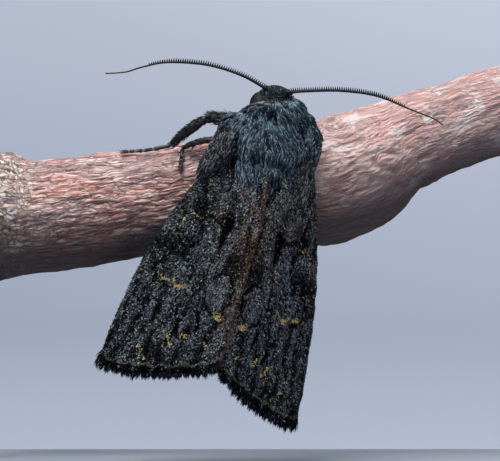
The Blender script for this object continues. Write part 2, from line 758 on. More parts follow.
def growWingScales(side, word, layer, material):
    seed = side + 10 * wingCoat["layers"].index(layer)
    dice = np.random.default_rng(100 + seed)
    rows, perRow = wingCoat["rows"], wingCoat["perRow"]
    s, t = np.meshgrid((np.arange(rows) + 0.5) / rows, (np.arange(perRow) + 0.5) / perRow, indexing="ij")
    s = s + dice.uniform(-0.4, 0.4, s.shape) / rows
    t = t + (0.5 * (np.arange(rows) % 2)[:, None] + dice.uniform(-0.35, 0.35, s.shape)) / perRow
    s, t = np.clip(s.ravel(), 0.001, 0.992), np.clip(t.ravel(), 0.003, 0.997)
    # thin out towards the narrow root, so the spacing stays even
    keep = dice.uniform(0, 1, s.shape) < 0.25 + 0.75 * s
    s, t = s[keep], t[keep]
    count = len(s)
    root = wingSurface(side, s, t)
    back = wingSurface(side, held(s + 0.01), t) - root
    over = wingSurface(side, s, held(t + 0.01)) - wingSurface(side, s, held(t - 0.01))
    out = unit(np.cross(over, back))
    out *= np.sign((out @ wingOut(side)).mean())
    # each scale is a little turned, lifted and rolled
    turn, lift, roll = (dice.normal(0, spread, (count, 1)) for spread in wingCoat["spread"])
    lie = unit(unit(back) + unit(over) * turn)
    out = unit(out + lie * lift + np.cross(lie, out) * roll)
    colour = wingColours(s, t, 21 + seed, True)
    length = dice.uniform(*wingCoat["length"], count) * mm
    width = dice.uniform(*wingCoat["width"], count) * mm
    solidScales(
        "scales" + word + layer, root, laidOn(lie, out), out, length, width, wingCoat,
        colour * 0.35, colour, wingPatch(s, t), material, "wing_scales",
    )


fringe = {
    "outer": {"tufts": 5400, "length": (0.50, 0.95), "ink": "dark", "depth": 0.34},
    "inner": {"tufts": 2400, "length": (0.35, 0.70), "ink": "brown", "depth": 0.5},
    "width": (0.045, 0.085),
    "lobes": 19,
    "paleShare": 0.10,
    "inset": 0.035,
    "shares": (0.0, 0.55),
    "lift": 0.05,
    "flat": 0.5,
    "sink": 0.02,
}


def growFringe(side, word, edge, material):
    # a brush of hair scales along the outer edge, and a thinner one that lies across the inner edge
    dice = np.random.default_rng(300 + side + 50 * (edge == "inner"))
    settings = fringe[edge]
    count = settings["tufts"]
    run = dice.uniform(0.0, 1.0, count)
    inset = dice.uniform(0.0, fringe["inset"], count)
    s, t = (1 - inset, run) if edge == "outer" else (0.06 + 0.93 * run, 1 - inset)
    level = dice.uniform(-0.4, 0.5, count) * wing["thickness"]

    def spotAt(s, t, level=0.0):
        return wingPlace(side, outline(s, t), wingHeight(s, t, side) + level)

    def facing(rows, towards):
        return rows * np.sign((rows * towards).sum(axis=1, keepdims=True))

    root = spotAt(s, t, level)
    back = unit(root - spotAt(s - 0.03, t, level))
    over = unit(spotAt(s, held(t + 0.02)) - spotAt(s, held(t - 0.02)))
    out = facing(unit(np.cross(over, back)), wingOut(side))
    # tufts gather in uneven lobes
    lobe = run * fringe["lobes"] + 0.35 * np.sin(run * 23 + side)
    phase = lobe % 1.0 - 0.5
    tall = np.random.default_rng(77 + side).uniform(0.72, 1.0, fringe["lobes"] + 4)
    ragged = tall[np.floor(lobe).astype(int) + 1] * (1.0 - 0.42 * (phase * 2) ** 2)
    if edge == "outer":
        away = facing(unit(np.cross(out, over)), back)
        aside = dice.normal(0, 0.12, (count, 1)) - 0.22 * phase[:, None]
        lie = unit(away * 0.9 + back * 0.1 + over * aside)
    else:
        lie = unit(back + over * (0.42 + dice.normal(0, 0.14, (count, 1))))
    lie = unit(lie + out * dice.normal(0, 0.07, (count, 1)))
    length = dice.uniform(*settings["length"], count) * ragged * mm
    width = dice.uniform(*fringe["width"], count) * mm
    dark = np.array(ink[settings["ink"]]) * settings["depth"] * dice.uniform(0.3, 1.6, (count, 1))
    light = dark * dice.uniform(0.8, 2.2, (count, 1))
    isPale = dice.uniform(0, 1, (count, 1)) < fringe["paleShare"]
    light = np.where(isPale, np.array(ink["pale"]) * 0.45, light)
    solidTufts(
        edge + "Fringe" + word, root, lie, out, length, width, fringe,
        dark, light, wingPatch(s, t), material, "wing_scales",
    )


scaleMaterial = coatMaterial("wingScales", 0.65, 0.02)
skinOfWing = finish("wingSkin", {
    "roughness": 0.7,
    "painted": "wingColour",
    "grain": ("Voronoi", {"Scale": 7000.0}),
    "shades": ((0.1, 0.3), (0.6, 1.0)),
    "bump": (0.5, 0.04 * mm),
})
for side, word in bothSides:
    buildForewing(side, word, skinOfWing, scaleMaterial)
print("forewings done")


# Hindwings: a pleated pale fold under each forewing
hindwing = {
    "drop": 0.86,
    "pleats": 5,
    "pleat": 0.13,
    "thickness": 0.14,
    "gridAlong": 70,
    "gridAcross": 60,
    "finish": {
        "roughness": 0.62,
        "grain": ("Noise", {"Scale": 5200.0, "Detail": 4.0}),
        "shades": ((0.3, (0.14, 0.13, 0.12)), (0.7, (0.38, 0.36, 0.33))),
        "broad": ("Noise", {"Scale": 420.0, "Detail": 3.0}),
        "broadShades": ((0.35, 0.55), (0.65, 1.0)),
        "bump": (0.4, 0.03 * mm),
        "sockets": {"Sheen Weight": 0.15},
    },
}


def buildHindwing(side, word, material):
    skin, s, t = flatGrid("hindwing" + word, hindwing, material)
    u = 1.6 + s * (13.5 - 6.0 * (t - 0.45) ** 2)
    v = 1.5 + 0.6 * s + t * (0.7 + 2.6 * s**0.7)
    pleat = -hindwing["pleat"] * np.cos(t * 2 * math.pi * hindwing["pleats"]) * np.minimum(1, s * 3)
    level = wingHeight(np.minimum(1, s * 0.85), held(v / 8.8)) * 0.6 - hindwing["drop"]
    placeAll(skin.data, wingPlace(side, np.stack([u, v], axis=1), level + pleat))
    thicken(skin.data, hindwing["thickness"])
    ridePiece(skin, "hindwing", "hindwing_" + word.lower())


paleFold = finish("hindwingScales", hindwing["finish"])
for side, word in bothSides:
    buildHindwing(side, word, paleFold)
print("hindwings done")


# Body: one skin under the hair, made from the same forms as the solids
body = {
    "chest": ((0.0, -1.2, 0.0), (2.85, 2.35, 2.25), 0.20),
    "collar": ((0.0, 0.0, 0.0), (2.70, 1.25, 2.05), 0.16),
    "tegula": {
        -1: ((-2.75, -0.75, 0.45), (1.15, 2.05, 1.30), 0.22),
        1: ((2.76, -0.15, 0.45), (1.15, 2.05, 1.30), 0.22),
    },
    "head": ((0.0, 0.08, 0.0), (1.36, 1.06, 1.15), 0.08),
    "palpJoints": ((0.42, -0.15, -0.70), (0.46, 0.15, -1.35), (0.50, 0.55, -1.50), (0.46, 0.85, -1.25)),
    "palpRadii": (0.24, 0.30, 0.25, 0.14),
    "abdomenFront": (-0.55, -2.4, -0.95),
    "abdomenTail": (-0.05, -14.2, -0.80),
    "abdomenHalf": (1.65, 1.30),
    "abdomenSteps": 64,
    "abdomenSides": 40,
    "segments": 8,
    "palpSteps": 25,
    "palpSides": 14,
    "eggSides": (48, 32),
    "voxel": 0.10,
    "smoothing": 22,
    "finish": {
        "roughness": 0.75,
        "grain": ("Noise", {"Scale": 3000.0, "Detail": 4.0}),
        "shades": ((0.35, (0.006, 0.008, 0.011)), (0.7, (0.030, 0.038, 0.050))),
        "bump": (0.6, 0.05 * mm),
    },
}
# Swells of hair that round the folds between those forms: frame, centre and half sizes
swells = {
    "mantle": (
        (collarFrame, (0.95, 0.42, 0.55), (1.05, 1.22, 0.85)),
        (collarFrame, (-0.70, 0.25, 0.50), (1.50, 0.85, 1.25)),
        (chestFrame, (-0.30, -3.15, 0.80), (1.50, 0.75, 0.72)),
    ),
    "shoulderLeft": (
        (chestFrame, (-3.95, -2.75, -0.30), (0.35, 0.60, 0.35)),
        (chestFrame, (-2.20, 0.60, 0.55), (0.70, 0.60, 0.80)),
    ),
    "shoulderRight": (
        (chestFrame, (2.05, 1.90, 0.30), (0.55, 0.60, 0.80)),
        (chestFrame, (3.05, -3.00, 0.05), (0.50, 0.60, 0.60)),
    ),
    "crest": ((chestFrame, (0.42, -2.55, 1.38), (0.80, 0.70, 0.55)),),
}


def egg(centre, half, inset, home):
    bm = bmesh.new()
    around, upwards = body["eggSides"]
    bmesh.ops.create_uvsphere(bm, u_segments=around, v_segments=upwards, radius=1.0)
    bmesh.ops.scale(bm, vec=[(value - inset) * mm for value in half], verts=bm.verts)
    bmesh.ops.translate(bm, vec=Vector(centre) * mm, verts=bm.verts)
    bmesh.ops.transform(bm, matrix=home, verts=bm.verts)
    return bm


def hullOf(*forms):
    bm = bmesh.new()
    for form in forms:
        for vert in form.verts:
            bm.verts.new(vert.co)
        form.free()
    bmesh.ops.convex_hull(bm, input=bm.verts)
    bmesh.ops.delete(bm, geom=[vert for vert in bm.verts if not vert.link_faces], context="VERTS")
    return bm


def swell(name):
    return [egg(centre, half, 0.0, home) for home, centre, half in swells[name]]


def abdomenForm():
    steps = body["abdomenSteps"]
    front, tail = Vector(body["abdomenFront"]), Vector(body["abdomenTail"])
    path = np.array([front.lerp(tail, index / steps) * mm for index in range(steps + 1)])

    def reach(station, angle):
        share = station / steps
        girth = math.sin(math.pi * (0.28 + 0.60 * share)) ** 0.8 * (1 - 0.35 * share**3)
        inSegment = (share * body["segments"]) % 1.0
        step = 0.95 + 0.05 * math.sin(math.pi * min(1.0, inSegment * 1.15)) ** 0.5
        wide, high = body["abdomenHalf"]
        return girth * step * mm / math.hypot(math.cos(angle) / wide, math.sin(angle) / high)

    bm = tubeAlong(path, (0, 0, 1), body["abdomenSides"], reach)
    bmesh.ops.transform(bm, matrix=mothFrame, verts=bm.verts)
    return bm


def palpForm(side):
    steps = body["palpSteps"]
    path = curvePath([(side * x, y, z) for x, y, z in body["palpJoints"]], steps)
    radii = np.interp(np.linspace(0, 3, steps), range(4), body["palpRadii"]) * mm
    bm = tubeAlong(path, (0.9, 0.1, 0.2), body["palpSides"], lambda station, angle: radii[station])
    bmesh.ops.transform(bm, matrix=headFrame, verts=bm.verts)
    return bm


def bodySkin(material):
    bm = bmesh.new()
    chest, collar = egg(*body["chest"], chestFrame), egg(*body["collar"], collarFrame)
    joinInto(bm, hullOf(chest, collar, *swell("mantle")))
    joinInto(bm, hullOf(*swell("crest")))
    joinInto(bm, egg(*body["head"], headFrame))
    joinInto(bm, abdomenForm())
    for side, word in bothSides:
        joinInto(bm, hullOf(egg(*body["tegula"][side], chestFrame), *swell("shoulder" + word)))
        joinInto(bm, palpForm(side))
    skin = finishObject("body", bm, material)
    remesh = skin.modifiers.new("remesh", "REMESH")
    remesh.mode = "VOXEL"
    remesh.voxel_size = body["voxel"] * mm
    graph = bpy.context.evaluated_depsgraph_get()
    mesh = bpy.data.meshes.new_from_object(skin.evaluated_get(graph), depsgraph=graph)
    skin.modifiers.clear()
    skin.data = mesh

    def soften(bm):
        axes = {"use_axis_x": True, "use_axis_y": True, "use_axis_z": True}
        for step in range(body["smoothing"]):
            bmesh.ops.smooth_vert(bm, verts=bm.verts, factor=0.5, **axes)
        bmesh.ops.triangulate(bm, faces=bm.faces)

    rework(mesh, soften)
    return skin


# Each coat: tufts a piece, sizes in mm, how far they lift, scatter and draw together, and their colours
plainCoat = {"pieces": 1, "rear": 0.0, "specks": 0.0}
coats = {
    "headCoat": {
        "count": 8000, "length": (0.20, 0.40), "width": (0.055, 0.095), "lift": 0.16,
        "lieSpread": 0.24, "clump": 0.60, "pale": 0.11, "tone": 0.52, "specks": 0.03,
    },
    "collarCoat": {
        "count": 11500, "length": (0.45, 0.85), "width": (0.075, 0.125), "lift": 0.10,
        "lieSpread": 0.07, "clump": 0.75, "pale": 0.40, "tone": 1.30, "specks": 0.02,
    },
    "chestCoat": {
        "count": 9500, "length": (0.55, 1.05), "width": (0.078, 0.130), "lift": 0.12,
        "lieSpread": 0.07, "clump": 0.80, "pale": 0.30, "tone": 1.10, "specks": 0.01,
        "pieces": 2, "rear": 0.40,
    },
    "tegulaCoat": {
        "count": 14000, "length": (0.28, 0.55), "width": (0.080, 0.130), "lift": 0.12,
        "lieSpread": 0.17, "clump": 0.60, "pale": 0.30, "tone": 1.15, "specks": 0.035, "rear": 1.1,
    },
    "underCoat": {
        "count": 5500, "length": (0.45, 0.90), "width": (0.09, 0.14), "lift": 0.12,
        "lieSpread": 0.22, "clump": 0.30, "pale": 0.15, "tone": 0.9,
    },
    "abdomenCoat": {
        "count": 6000, "length": (0.40, 0.75), "width": (0.09, 0.13), "lift": 0.06,
        "lieSpread": 0.14, "clump": 0.15, "pale": 0.22, "tone": 1.0,
    },
}
# Share of its light that the hair loses in a hollow, on the collar's right and in the fold behind the head;
# rear says how far the rear edge counts as a hollow
hairLoss = {"hollow": 0.80, "collarRight": 0.6, "headFold": 0.75, "rear": 0.45}
hairInk = {
    "root": (0.006, 0.0085, 0.012),
    "tip": (0.013, 0.019, 0.026),
    "pale": (0.180, 0.255, 0.315),
    "warmth": (1.28, 1.0, 0.74),
    "speck": (0.30, 0.25, 0.15),
}
tuftShape = {"shares": (0.0, 0.5), "flat": 0.55, "sink": 0.08, "lock": 0.30}
# Where one coat ends and the next begins, in mm; headReach is a share of the head's half sizes
borders = {
    "collarBack": 0.7,
    "headReach": 1.12,
    "mouth": (-0.6, -0.9),
    "shoulder": 2.75,
    "shoulderLow": -0.95,
    "belly": -0.6,
    "waist": (-3.45, 2.2, 0.2),
    "abdomenStart": -4.2,
}
# Furrows in the hair, in the chest frame: ends and half width
furrows = (
    ((-0.76, 0.30), (-0.34, -0.75), 0.10),
    ((-2.50, -0.30), (-2.05, -3.60), 0.13),
    ((1.60, 1.05), (2.70, -0.30), 0.11),
    ((2.55, -0.60), (1.75, -3.00), 0.16),
)


def regionOf(spot):
    # which coat a root belongs to, from the forms' own frames
    inHead = moved(spot, headFrame.inverted()) / mm
    inChest = moved(spot, chestFrame.inverted()) / mm
    x, y, z = inChest.T
    slope = math.radians(moth["collarTurn"])
    parting = y * math.cos(slope) - x * math.sin(slope) + 0.2 * z - borders["collarBack"]
    region = np.full(len(spot), "chestCoat", dtype=object)
    region[parting > 0] = "collarCoat"
    centre, half, _ = body["head"]
    nearHead = np.linalg.norm((inHead - np.array(centre)) / np.array(half), axis=1) < borders["headReach"]
    region[nearHead & (headLine(inHead) > 0)] = "headCoat"
    front, low = borders["mouth"]
    region[(inHead[:, 1] > front) & (inHead[:, 2] < low)] = "headCoat"
    onShoulder = (np.abs(x) + 0.30 * z > borders["shoulder"]) & (z > borders["shoulderLow"])
    region[onShoulder & (parting <= 0.1)] = "tegulaCoat"
    region[(z < borders["belly"]) & (region != "headCoat")] = "underCoat"
    back, wide, high = borders["waist"]
    region[(y < back) & (np.abs(x) < wide) & (z < high)] = "abdomenCoat"
    region[y < borders["abdomenStart"]] = "abdomenCoat"
    return region, inChest, inHead


def headLine(inHead):
    # distance from the line between head and collar, which climbs to the right as in the photo
    return inHead[:, 1] + 0.55 - 0.62 * np.clip(inHead[:, 0] + 0.9, 0, 2.2)


def lieOf(name, inChest, inHead):
    # direction of the hair in the chest frame: it fans out from the collar, then draws in to the crest
    x, y, z = inChest.T
    upper = eased(held((y + 1.1) / 0.9))
    fan = np.where(x > -0.5, np.minimum(0.6 + 0.50 * x, 1.0), np.maximum(0.21 + 0.22 * x, -0.30))
    draw = 0.30 + np.where(x > 0.3, -0.34 * (x - 0.3), 0.05 * x)
    lie = np.stack([blended(draw, fan, upper), np.full(len(x), -1.0), np.zeros(len(x))], axis=1)
    lie[:, 0] += 0.09 * np.sin(y * 2.6 + x * 1.7) + 0.06 * np.sin(x * 5.1 - y * 3.3)
    if name == "tegulaCoat":
        lie[:, 0] = np.where(x < 0, -0.32, -0.22) + 0.12 * np.sin(y * 3.1)
    if name == "headCoat":
        ahead = inHead[:, 1]
        lie = np.stack([inHead[:, 0] * 0.9, 0.55 + 0.3 * ahead, 0.35 - 1.1 * (ahead > 0.5)], axis=1)
    if name in ("headCoat", "collarCoat"):
        # along the line behind the head the hair lies over to the left in a fold
        fold = (bell(headLine(inHead) / 0.24) * (z > 0.2))[:, None]
        lie = blended(lie, (-0.972, -0.732, 0.0), fold)
    if name == "underCoat":
        lie[:, 2] = -0.35
    return lie


def hairLooks(name, inChest, inHead):
    # how dark, how brown, how grey and how loose the hair is at each root
    x, y, z = inChest.T
    hollow = held(1.3 - np.hypot((x - 1.5) / 0.9, (y + 3.0) / 0.9))
    rear = hairLoss["rear"] * held((-y - 2.9) / 0.5) * (np.abs(x) < 2.4)
    depth = np.maximum(hollow, rear)
    for start, end, width in furrows:
        depth = np.maximum(depth, strokeShare(x, y, (start, end), width))
    onTop = z > 0.3
    dark = 1 - hairLoss["hollow"] * depth * onTop
    brown = np.clip((np.abs(x) - 2.0) * 0.5, 0, 0.45) * held((0.6 - y) / 1.2)
    grey = np.zeros(len(x))
    if name == "collarCoat":
        grey = 0.30 * bell(headLine(inHead) / 0.20) * onTop
        dark = dark * (1 - hairLoss["collarRight"] * held((x - 1.0) / 1.2))
    if name in ("headCoat", "collarCoat"):
        dark = dark * (1 - hairLoss["headFold"] * bell((headLine(inHead) + 0.12) / 0.07) * onTop)
    # at the rear edge the hair leaves the surface and lies out over the wings
    loose = held(-y - 2.2) * (z > -0.4) * (name in ("chestCoat", "tegulaCoat"))
    return dark, brown, grey, loose


def growCoat(name, settings, roots, normals, lies, looks, patches, dice, material):
    count = len(roots)
    dark, brown, grey, loose = looks
    length = dice.uniform(*settings["length"], count) * (1 - 0.45 * grey) * mm
    length *= 1 + settings["rear"] * loose
    width = dice.uniform(*settings["width"], count) * mm
    lie = unit(lies + dice.normal(0, settings["lieSpread"], (count, 3)))
    # tips draw together in small locks
    cells = np.floor(roots / (tuftShape["lock"] * mm)).astype(int)
    _, group = np.unique(cells, axis=0, return_inverse=True)
    group = group.ravel()
    size = np.bincount(group)
    centre = np.stack([np.bincount(group, roots[:, axis]) / size for axis in range(3)], axis=1)
    lie = unit(lie + (centre[group] - roots) / length[:, None] * settings["clump"])
    lie = laidOn(lie, normals, (0.85 - 0.75 * loose)[:, None])
    tone = dice.uniform(0.15, 1.85, len(size))[group] * dice.uniform(0.4, 1.6, count) * dark
    tone = tone[:, None] * settings["tone"]
    chance = (settings["pale"] + 0.03 + 0.2 * grey) * dark
    isPale = dice.uniform(0, 1, count) < chance * dice.uniform(0, 2, len(size))[group]
    bright = dice.uniform(0.3, 1.6, (count, 1)) * min(1.0, settings["tone"] + 0.1)
    tip = np.where(isPale[:, None], np.array(hairInk["pale"]) * bright, np.array(hairInk["tip"]) * tone)
    warm = tip.mean(axis=1, keepdims=True) * np.array(hairInk["warmth"])
    tip = blended(tip, warm, held(brown * dice.uniform(0.4, 1.6, count) + grey * 0.6)[:, None])
    speck = dice.uniform(0, 1, count) < settings["specks"] * (0.3 + brown)
    tip[speck] = np.array(hairInk["speck"]) * dice.uniform(0.3, 1.0, (speck.sum(), 1))
    shape = dict(tuftShape, lift=settings["lift"])
    base = np.array(hairInk["root"]) * tone
    solidTufts(name, roots, lie, normals, length, width, shape, base, tip, patches, material, "body_hair")


def dressBody(skin, material):
    mesh = skin.data
    spots = places(mesh)
    corners = readAll(mesh.polygons, "vertices", 3, np.int32)
    a, b, c = (spots[corners[:, index]] for index in range(3))
    cross = np.cross(b - a, c - a)
    area = np.linalg.norm(cross, axis=1) / 2
    region, _, _ = regionOf((a + b + c) / 3)
    vertexNormals = np.zeros_like(spots)
    for index in range(3):
        np.add.at(vertexNormals, corners[:, index], cross)
    vertexNormals = unit(vertexNormals)
    jobs = []
    for name, own in coats.items():
        settings = {**plainCoat, **own}
        parts = ("A", "B")[: settings["pieces"]] if settings["pieces"] > 1 else ("",)
        jobs += [(name, name + part, settings) for part in parts]
    for number, (name, pieceName, settings) in enumerate(jobs):
        dice = np.random.default_rng(700 + number)
        mask = region == name
        chance = area[mask] / area[mask].sum()
        pick = dice.choice(np.nonzero(mask)[0], settings["count"], p=chance)
        r1, r2 = np.sqrt(dice.uniform(0, 1, len(pick))), dice.uniform(0, 1, len(pick))
        shares = (1 - r1, r1 * (1 - r2), r1 * r2)

        def spread(values):
            return sum(values[corners[pick, index]] * shares[index][:, None] for index in range(3))

        roots, normals = spread(spots), unit(spread(vertexNormals))
        _, inChest, inHead = regionOf(roots)
        looks = hairLooks(name, inChest, inHead)
        lies = turnedOnly(lieOf(name, inChest, inHead), chestFrame)
        lies = laidOn(lies, normals, (1 - 0.8 * looks[3])[:, None])
        around = np.arctan2(inChest[:, 0], inChest[:, 2]) / (2 * math.pi) + 0.5
        patches = np.stack([around, held((inChest[:, 1] + 15) / 20)], axis=1)
        growCoat(pieceName, settings, roots, normals, lies, looks, patches, dice, material)


hairMaterial = coatMaterial("bodyHair", 0.50, 0.17)
skin = bodySkin(finish("bodySkin", body["finish"]))
pairs = ("tegula_left", "tegula_right", "palp_left", "palp_right")
ridePiece(skin, "body_hair", "thorax", "collar", "head", "abdomen", *pairs)
dressBody(skin, hairMaterial)
print("body done")


# Eyes: dark brown, with a fine net of facets
eyes = {
    "centre": (1.02, -0.36, -0.13),
    "half": (0.76, 0.90, 0.80),
    "finish": {
        "roughness": 0.55,
        "grain": ("Voronoi", {"Scale": 16000.0, "feature": "DISTANCE_TO_EDGE"}),
        "shades": ((0.02, 0.45), (0.12, 1.0)),
        "broad": ("Noise", {"Scale": 1100.0, "Detail": 3.0}),
        "broadShades": ((0.35, (0.004, 0.003, 0.003)), (0.65, (0.011, 0.007, 0.007))),
        "bump": (0.6, 0.02 * mm),
        "sockets": {"Specular IOR Level": 0.16},
    },
}


def buildEyes(material):
    for side, word in bothSides:
        bm = bmesh.new()
        bmesh.ops.create_icosphere(bm, subdivisions=5, radius=1.0)
        bmesh.ops.scale(bm, vec=Vector(eyes["half"]) * mm, verts=bm.verts)
        x, y, z = eyes["centre"]
        bmesh.ops.translate(bm, vec=Vector((side * x, y, z)) * mm, verts=bm.verts)
        bmesh.ops.transform(bm, matrix=headFrame, verts=bm.verts)
        eye = finishObject("eye" + word, bm, material)
        ridePiece(eye, "eye", "eye_" + word.lower())


buildEyes(finish("eyeFacets", eyes["finish"]))
print("eyes done")


# Antennae: ringed threads with two rows of fine teeth over the inner part
antennae = {
    "Left": (
        (1.30, -2.30, 29.20), (0.90, -2.62, 29.42), (-0.65, -2.75, 30.25), (-3.0, -2.75, 30.95),
        (-5.75, -2.35, 31.15), (-7.55, -1.85, 30.85), (-8.75, -1.45, 30.52), (-10.2, -1.1, 30.42),
    ),
    "Right": (
        (2.55, -2.50, 29.02), (4.1, -2.7, 29.12), (6.4, -2.6, 29.14), (8.9, -2.1, 28.80),
        (11.2, -1.5, 27.92), (13.0, -1.0, 27.22), (13.6, -0.85, 26.78),
    ),
    "rootRadius": 0.112,
    "tipRadius": 0.052,
    "sides": 14,
    "rings": 76,
    "perRing": 5,
    "notch": 0.14,
    "toothed": 0.74,
    "toothLength": 0.25,
    "toothRadius": 0.065,
    "toothTip": 0.006,
    "toothSides": 6,
    "splay": 18,
    "scape": 0.17,
    "dark": (0.006, 0.006, 0.007),
    "tan": (0.20, 0.15, 0.095),
    "finish": {
        "roughness": 0.62,
        "painted": "threadColour",
        "grain": ("Noise", {"Scale": 12000.0, "Detail": 2.0}),
        "shades": ((0.35, 0.45), (0.7, 1.1)),
        "bump": (0.3, 0.02 * mm),
        "sockets": {"Specular IOR Level": 0.2},
    },
}


def buildAntenna(word, material):
    perRing = antennae["perRing"]
    count = antennae["rings"] * perRing + 1
    path = curvePath(antennae[word], count)
    along, wide, high = pathFrames(path, (0, 0, 1))
    shares = np.linspace(0, 1, count)
    radii = antennae["rootRadius"] + (antennae["tipRadius"] - antennae["rootRadius"]) * shares**1.2
    radii += (antennae["scape"] - antennae["rootRadius"]) * bell((shares - 0.02) / 0.02)

    def reach(station, angle):
        ring = 0.5 + 0.5 * math.cos(2 * math.pi * station / perRing)
        end = 0.35 if station in (0, count - 1) else 1.0
        return radii[station] * (1 - antennae["notch"] * ring) * end * mm

    bm = tubeAlong(path, (0, 0, 1), antennae["sides"], reach)
    thick, thin, sides = (antennae[name] for name in ("toothRadius", "toothTip", "toothSides"))
    toothed = antennae["rings"] * antennae["toothed"]
    for index in range(1, int(toothed)):
        station = index * perRing + 2
        fade = min(1.0, 4.5 * (1 - index / toothed)) * min(1.0, index / 3)
        length = antennae["toothLength"] * (0.55 + 0.45 * fade) * mm
        for splay in (-antennae["splay"], antennae["splay"]):
            turn = math.radians(splay)
            lean = high[station] * math.cos(turn) + wide[station] * math.sin(turn) - along[station] * 0.10
            course = Vector(lean).normalized()
            root = Vector(path[station]) + course * (radii[station] * 0.6 * mm)
            addSpike(bm, root, course, length, thick, thin, sides)
    antenna = finishObject("antenna" + word, bm, material)
    spots = places(antenna.data)
    nearest = np.abs(spots[:, None, 0] - path[None, ::perRing, 0]).argmin(axis=1) * perRing
    lift = ((spots - path[nearest]) * high[nearest]).sum(axis=1) / (radii[nearest] * mm)
    tan = (held((shares[nearest] - 0.55) / 0.3) * held(lift * 1.2))[:, None]
    paint(antenna.data, "threadColour", blended(antennae["dark"], antennae["tan"], tan))
    lengths = [f"antenna_{word.lower()}_{part}" for part in ("root", "middle", "tip")]
    ridePiece(antenna, "antenna", *lengths)


threadMaterial = finish("antennaThread", antennae["finish"])
for _, word in bothSides:
    buildAntenna(word, threadMaterial)
print("antennae done")


# Branch: the solid's own line and girth, with the bark's folds, wrinkles and cracks
branch = {
    "stations": (
        (-21.8, 3.8, 20.40, 4.90), (-17.9, 3.9, 20.36, 4.55), (-15.1, 4.0, 20.40, 4.00),
        (-10.0, 4.2, 20.98, 3.90), (-7.2, 4.3, 21.40, 3.75), (-2.0, 4.45, 22.00, 4.00),
        (2.0, 4.5, 22.40, 4.30), (5.0, 4.6, 22.80, 4.50), (7.5, 4.9, 23.60, 4.35),
        (10.9, 5.7, 25.50, 3.45), (14.6, 6.6, 26.95, 3.15), (18.4, 7.5, 28.05, 3.15),
        (21.8, 8.4, 29.00, 3.20),
    ),
    "along": 330,
    "around": 290,
    "fold": 0.13,
    "wrinkle": 0.075,
    "crack": 0.060,
    "nodeEnd": -16.6,
    "nodeBump": 0.30,
    "nodeScale": 0.24,
    "rightStart": 1,
    "smoothStart": 9.0,
    "smoothing": 0.55,
    "knotPlace": (8.9, 24.3),
    "knotReach": 1.3,
    "knotRise": 0.22,
    "knotRings": 0.16,
    "reliefSpan": 0.24,
    "wood": {
        "roughness": 0.75,
        "attribute": "barkPlace",
        "stretch": (0.0, 1.0, 1.0),
        "grain": (
            "Wave",
            {"Scale": 420.0, "Distortion": 1.5, "Detail": 2.0, "wave_type": "RINGS", "rings_direction": "X"},
        ),
        "shades": ((0.2, (0.40, 0.28, 0.17)), (0.8, (0.58, 0.44, 0.29))),
        "bump": (0.2, 0.05 * mm),
    },
}
barkInk = {
    "ground": (
        (0.34, (0.300, 0.115, 0.088)), (0.45, (0.245, 0.108, 0.094)), (0.54, (0.190, 0.114, 0.116)),
        (0.68, (0.290, 0.200, 0.192)),
    ),
    "fibre": (0.535, 0.405, 0.375),
    "thread": (0.060, 0.034, 0.034),
    "crack": (0.050, 0.030, 0.030),
    "crest": (0.510, 0.390, 0.365),
    "whitish": (0.52, 0.46, 0.45),
    "rust": (0.31, 0.150, 0.125),
    "even": (0.350, 0.250, 0.245),
    "crust": (
        (0.05, (0.11, 0.095, 0.050)), (0.35, (0.30, 0.235, 0.200)), (0.65, (0.40, 0.36, 0.31)),
        (0.95, (0.58, 0.53, 0.50)),
    ),
    "lichen": (0.30, 0.27, 0.10),
    "weathered": (0.040, 0.030, 0.031),
}


# Noises on the bark: stops, scale, stretch along the branch, detail and offset
barkPatterns = {
    "ground": (barkInk["ground"], 420.0, 0.35, 4.0, 0.0),
    "fibre": (((0.49, 0), (0.60, 0.92)), 5200.0, 0.16, 4.0, 0.001),
    "thread": (((0.38, 0.85), (0.46, 0)), 4300.0, 0.12, 3.0, 0.007),
    "whitish": (((0.54, 0), (0.62, 1)), 620.0, 0.8, 4.0, 0.002),
    "rust": (((0.54, 0), (0.62, 1)), 900.0, 0.8, 4.0, 0.009),
    "crust": (((0.36, 0), (0.50, 1)), 900.0, 1.0, 4.0, 0.003),
    "lichen": (((0.68, 0), (0.74, 0.8)), 2300.0, 0.7, 2.0, 0.011),
}
# Cells in the bark: scale, shades of the cells and shades of their edges
barkCells = {
    "flake": (3000.0, ((0.1, 0.80), (0.9, 1.50)), ((0.02, 0.70), (0.10, 0))),
    "crust": (2300.0, barkInk["crust"], ((0.03, 0.20), (0.16, 1.0))),
}
# Stretches of the branch: axis, where each starts and is full, in metres, and its strength
barkSpans = {
    "right": ("X", 0.002, 0.007, 0.75),
    "even": ("X", 0.002, 0.007, 0.3375),
    "swelling": ("X", -0.0140, -0.0175, 0.9),
    "underside": ("Z", 0.0006, -0.0030, 0.93),
}


def branchRadius(x):
    stations = branch["stations"]
    for near, far in zip(stations, stations[1:]):
        if near[0] <= x <= far[0]:
            return near[3] + (far[3] - near[3]) * eased((x - near[0]) / (far[0] - near[0]))
    return stations[-1][3] if x > 0 else stations[0][3]


def branchSpot(x, degrees, clear):
    # a place outside the branch at x: degrees up from the viewer's side, clear above the bark, in mm
    runs, backs, heights, _ = np.array(branch["stations"]).T
    centre = Vector((x, np.interp(x, runs, backs), np.interp(x, runs, heights)))
    slope = np.interp(x + 1, runs, heights) - np.interp(x - 1, runs, heights)
    along = Vector((2, 0, slope)).normalized()
    angle = math.radians(degrees)
    out = Vector((0, -1, 0)) * math.cos(angle) + Vector((-along.z, 0, along.x)) * math.sin(angle)
    return centre + out * (branchRadius(x) + branch["fold"] + clear)


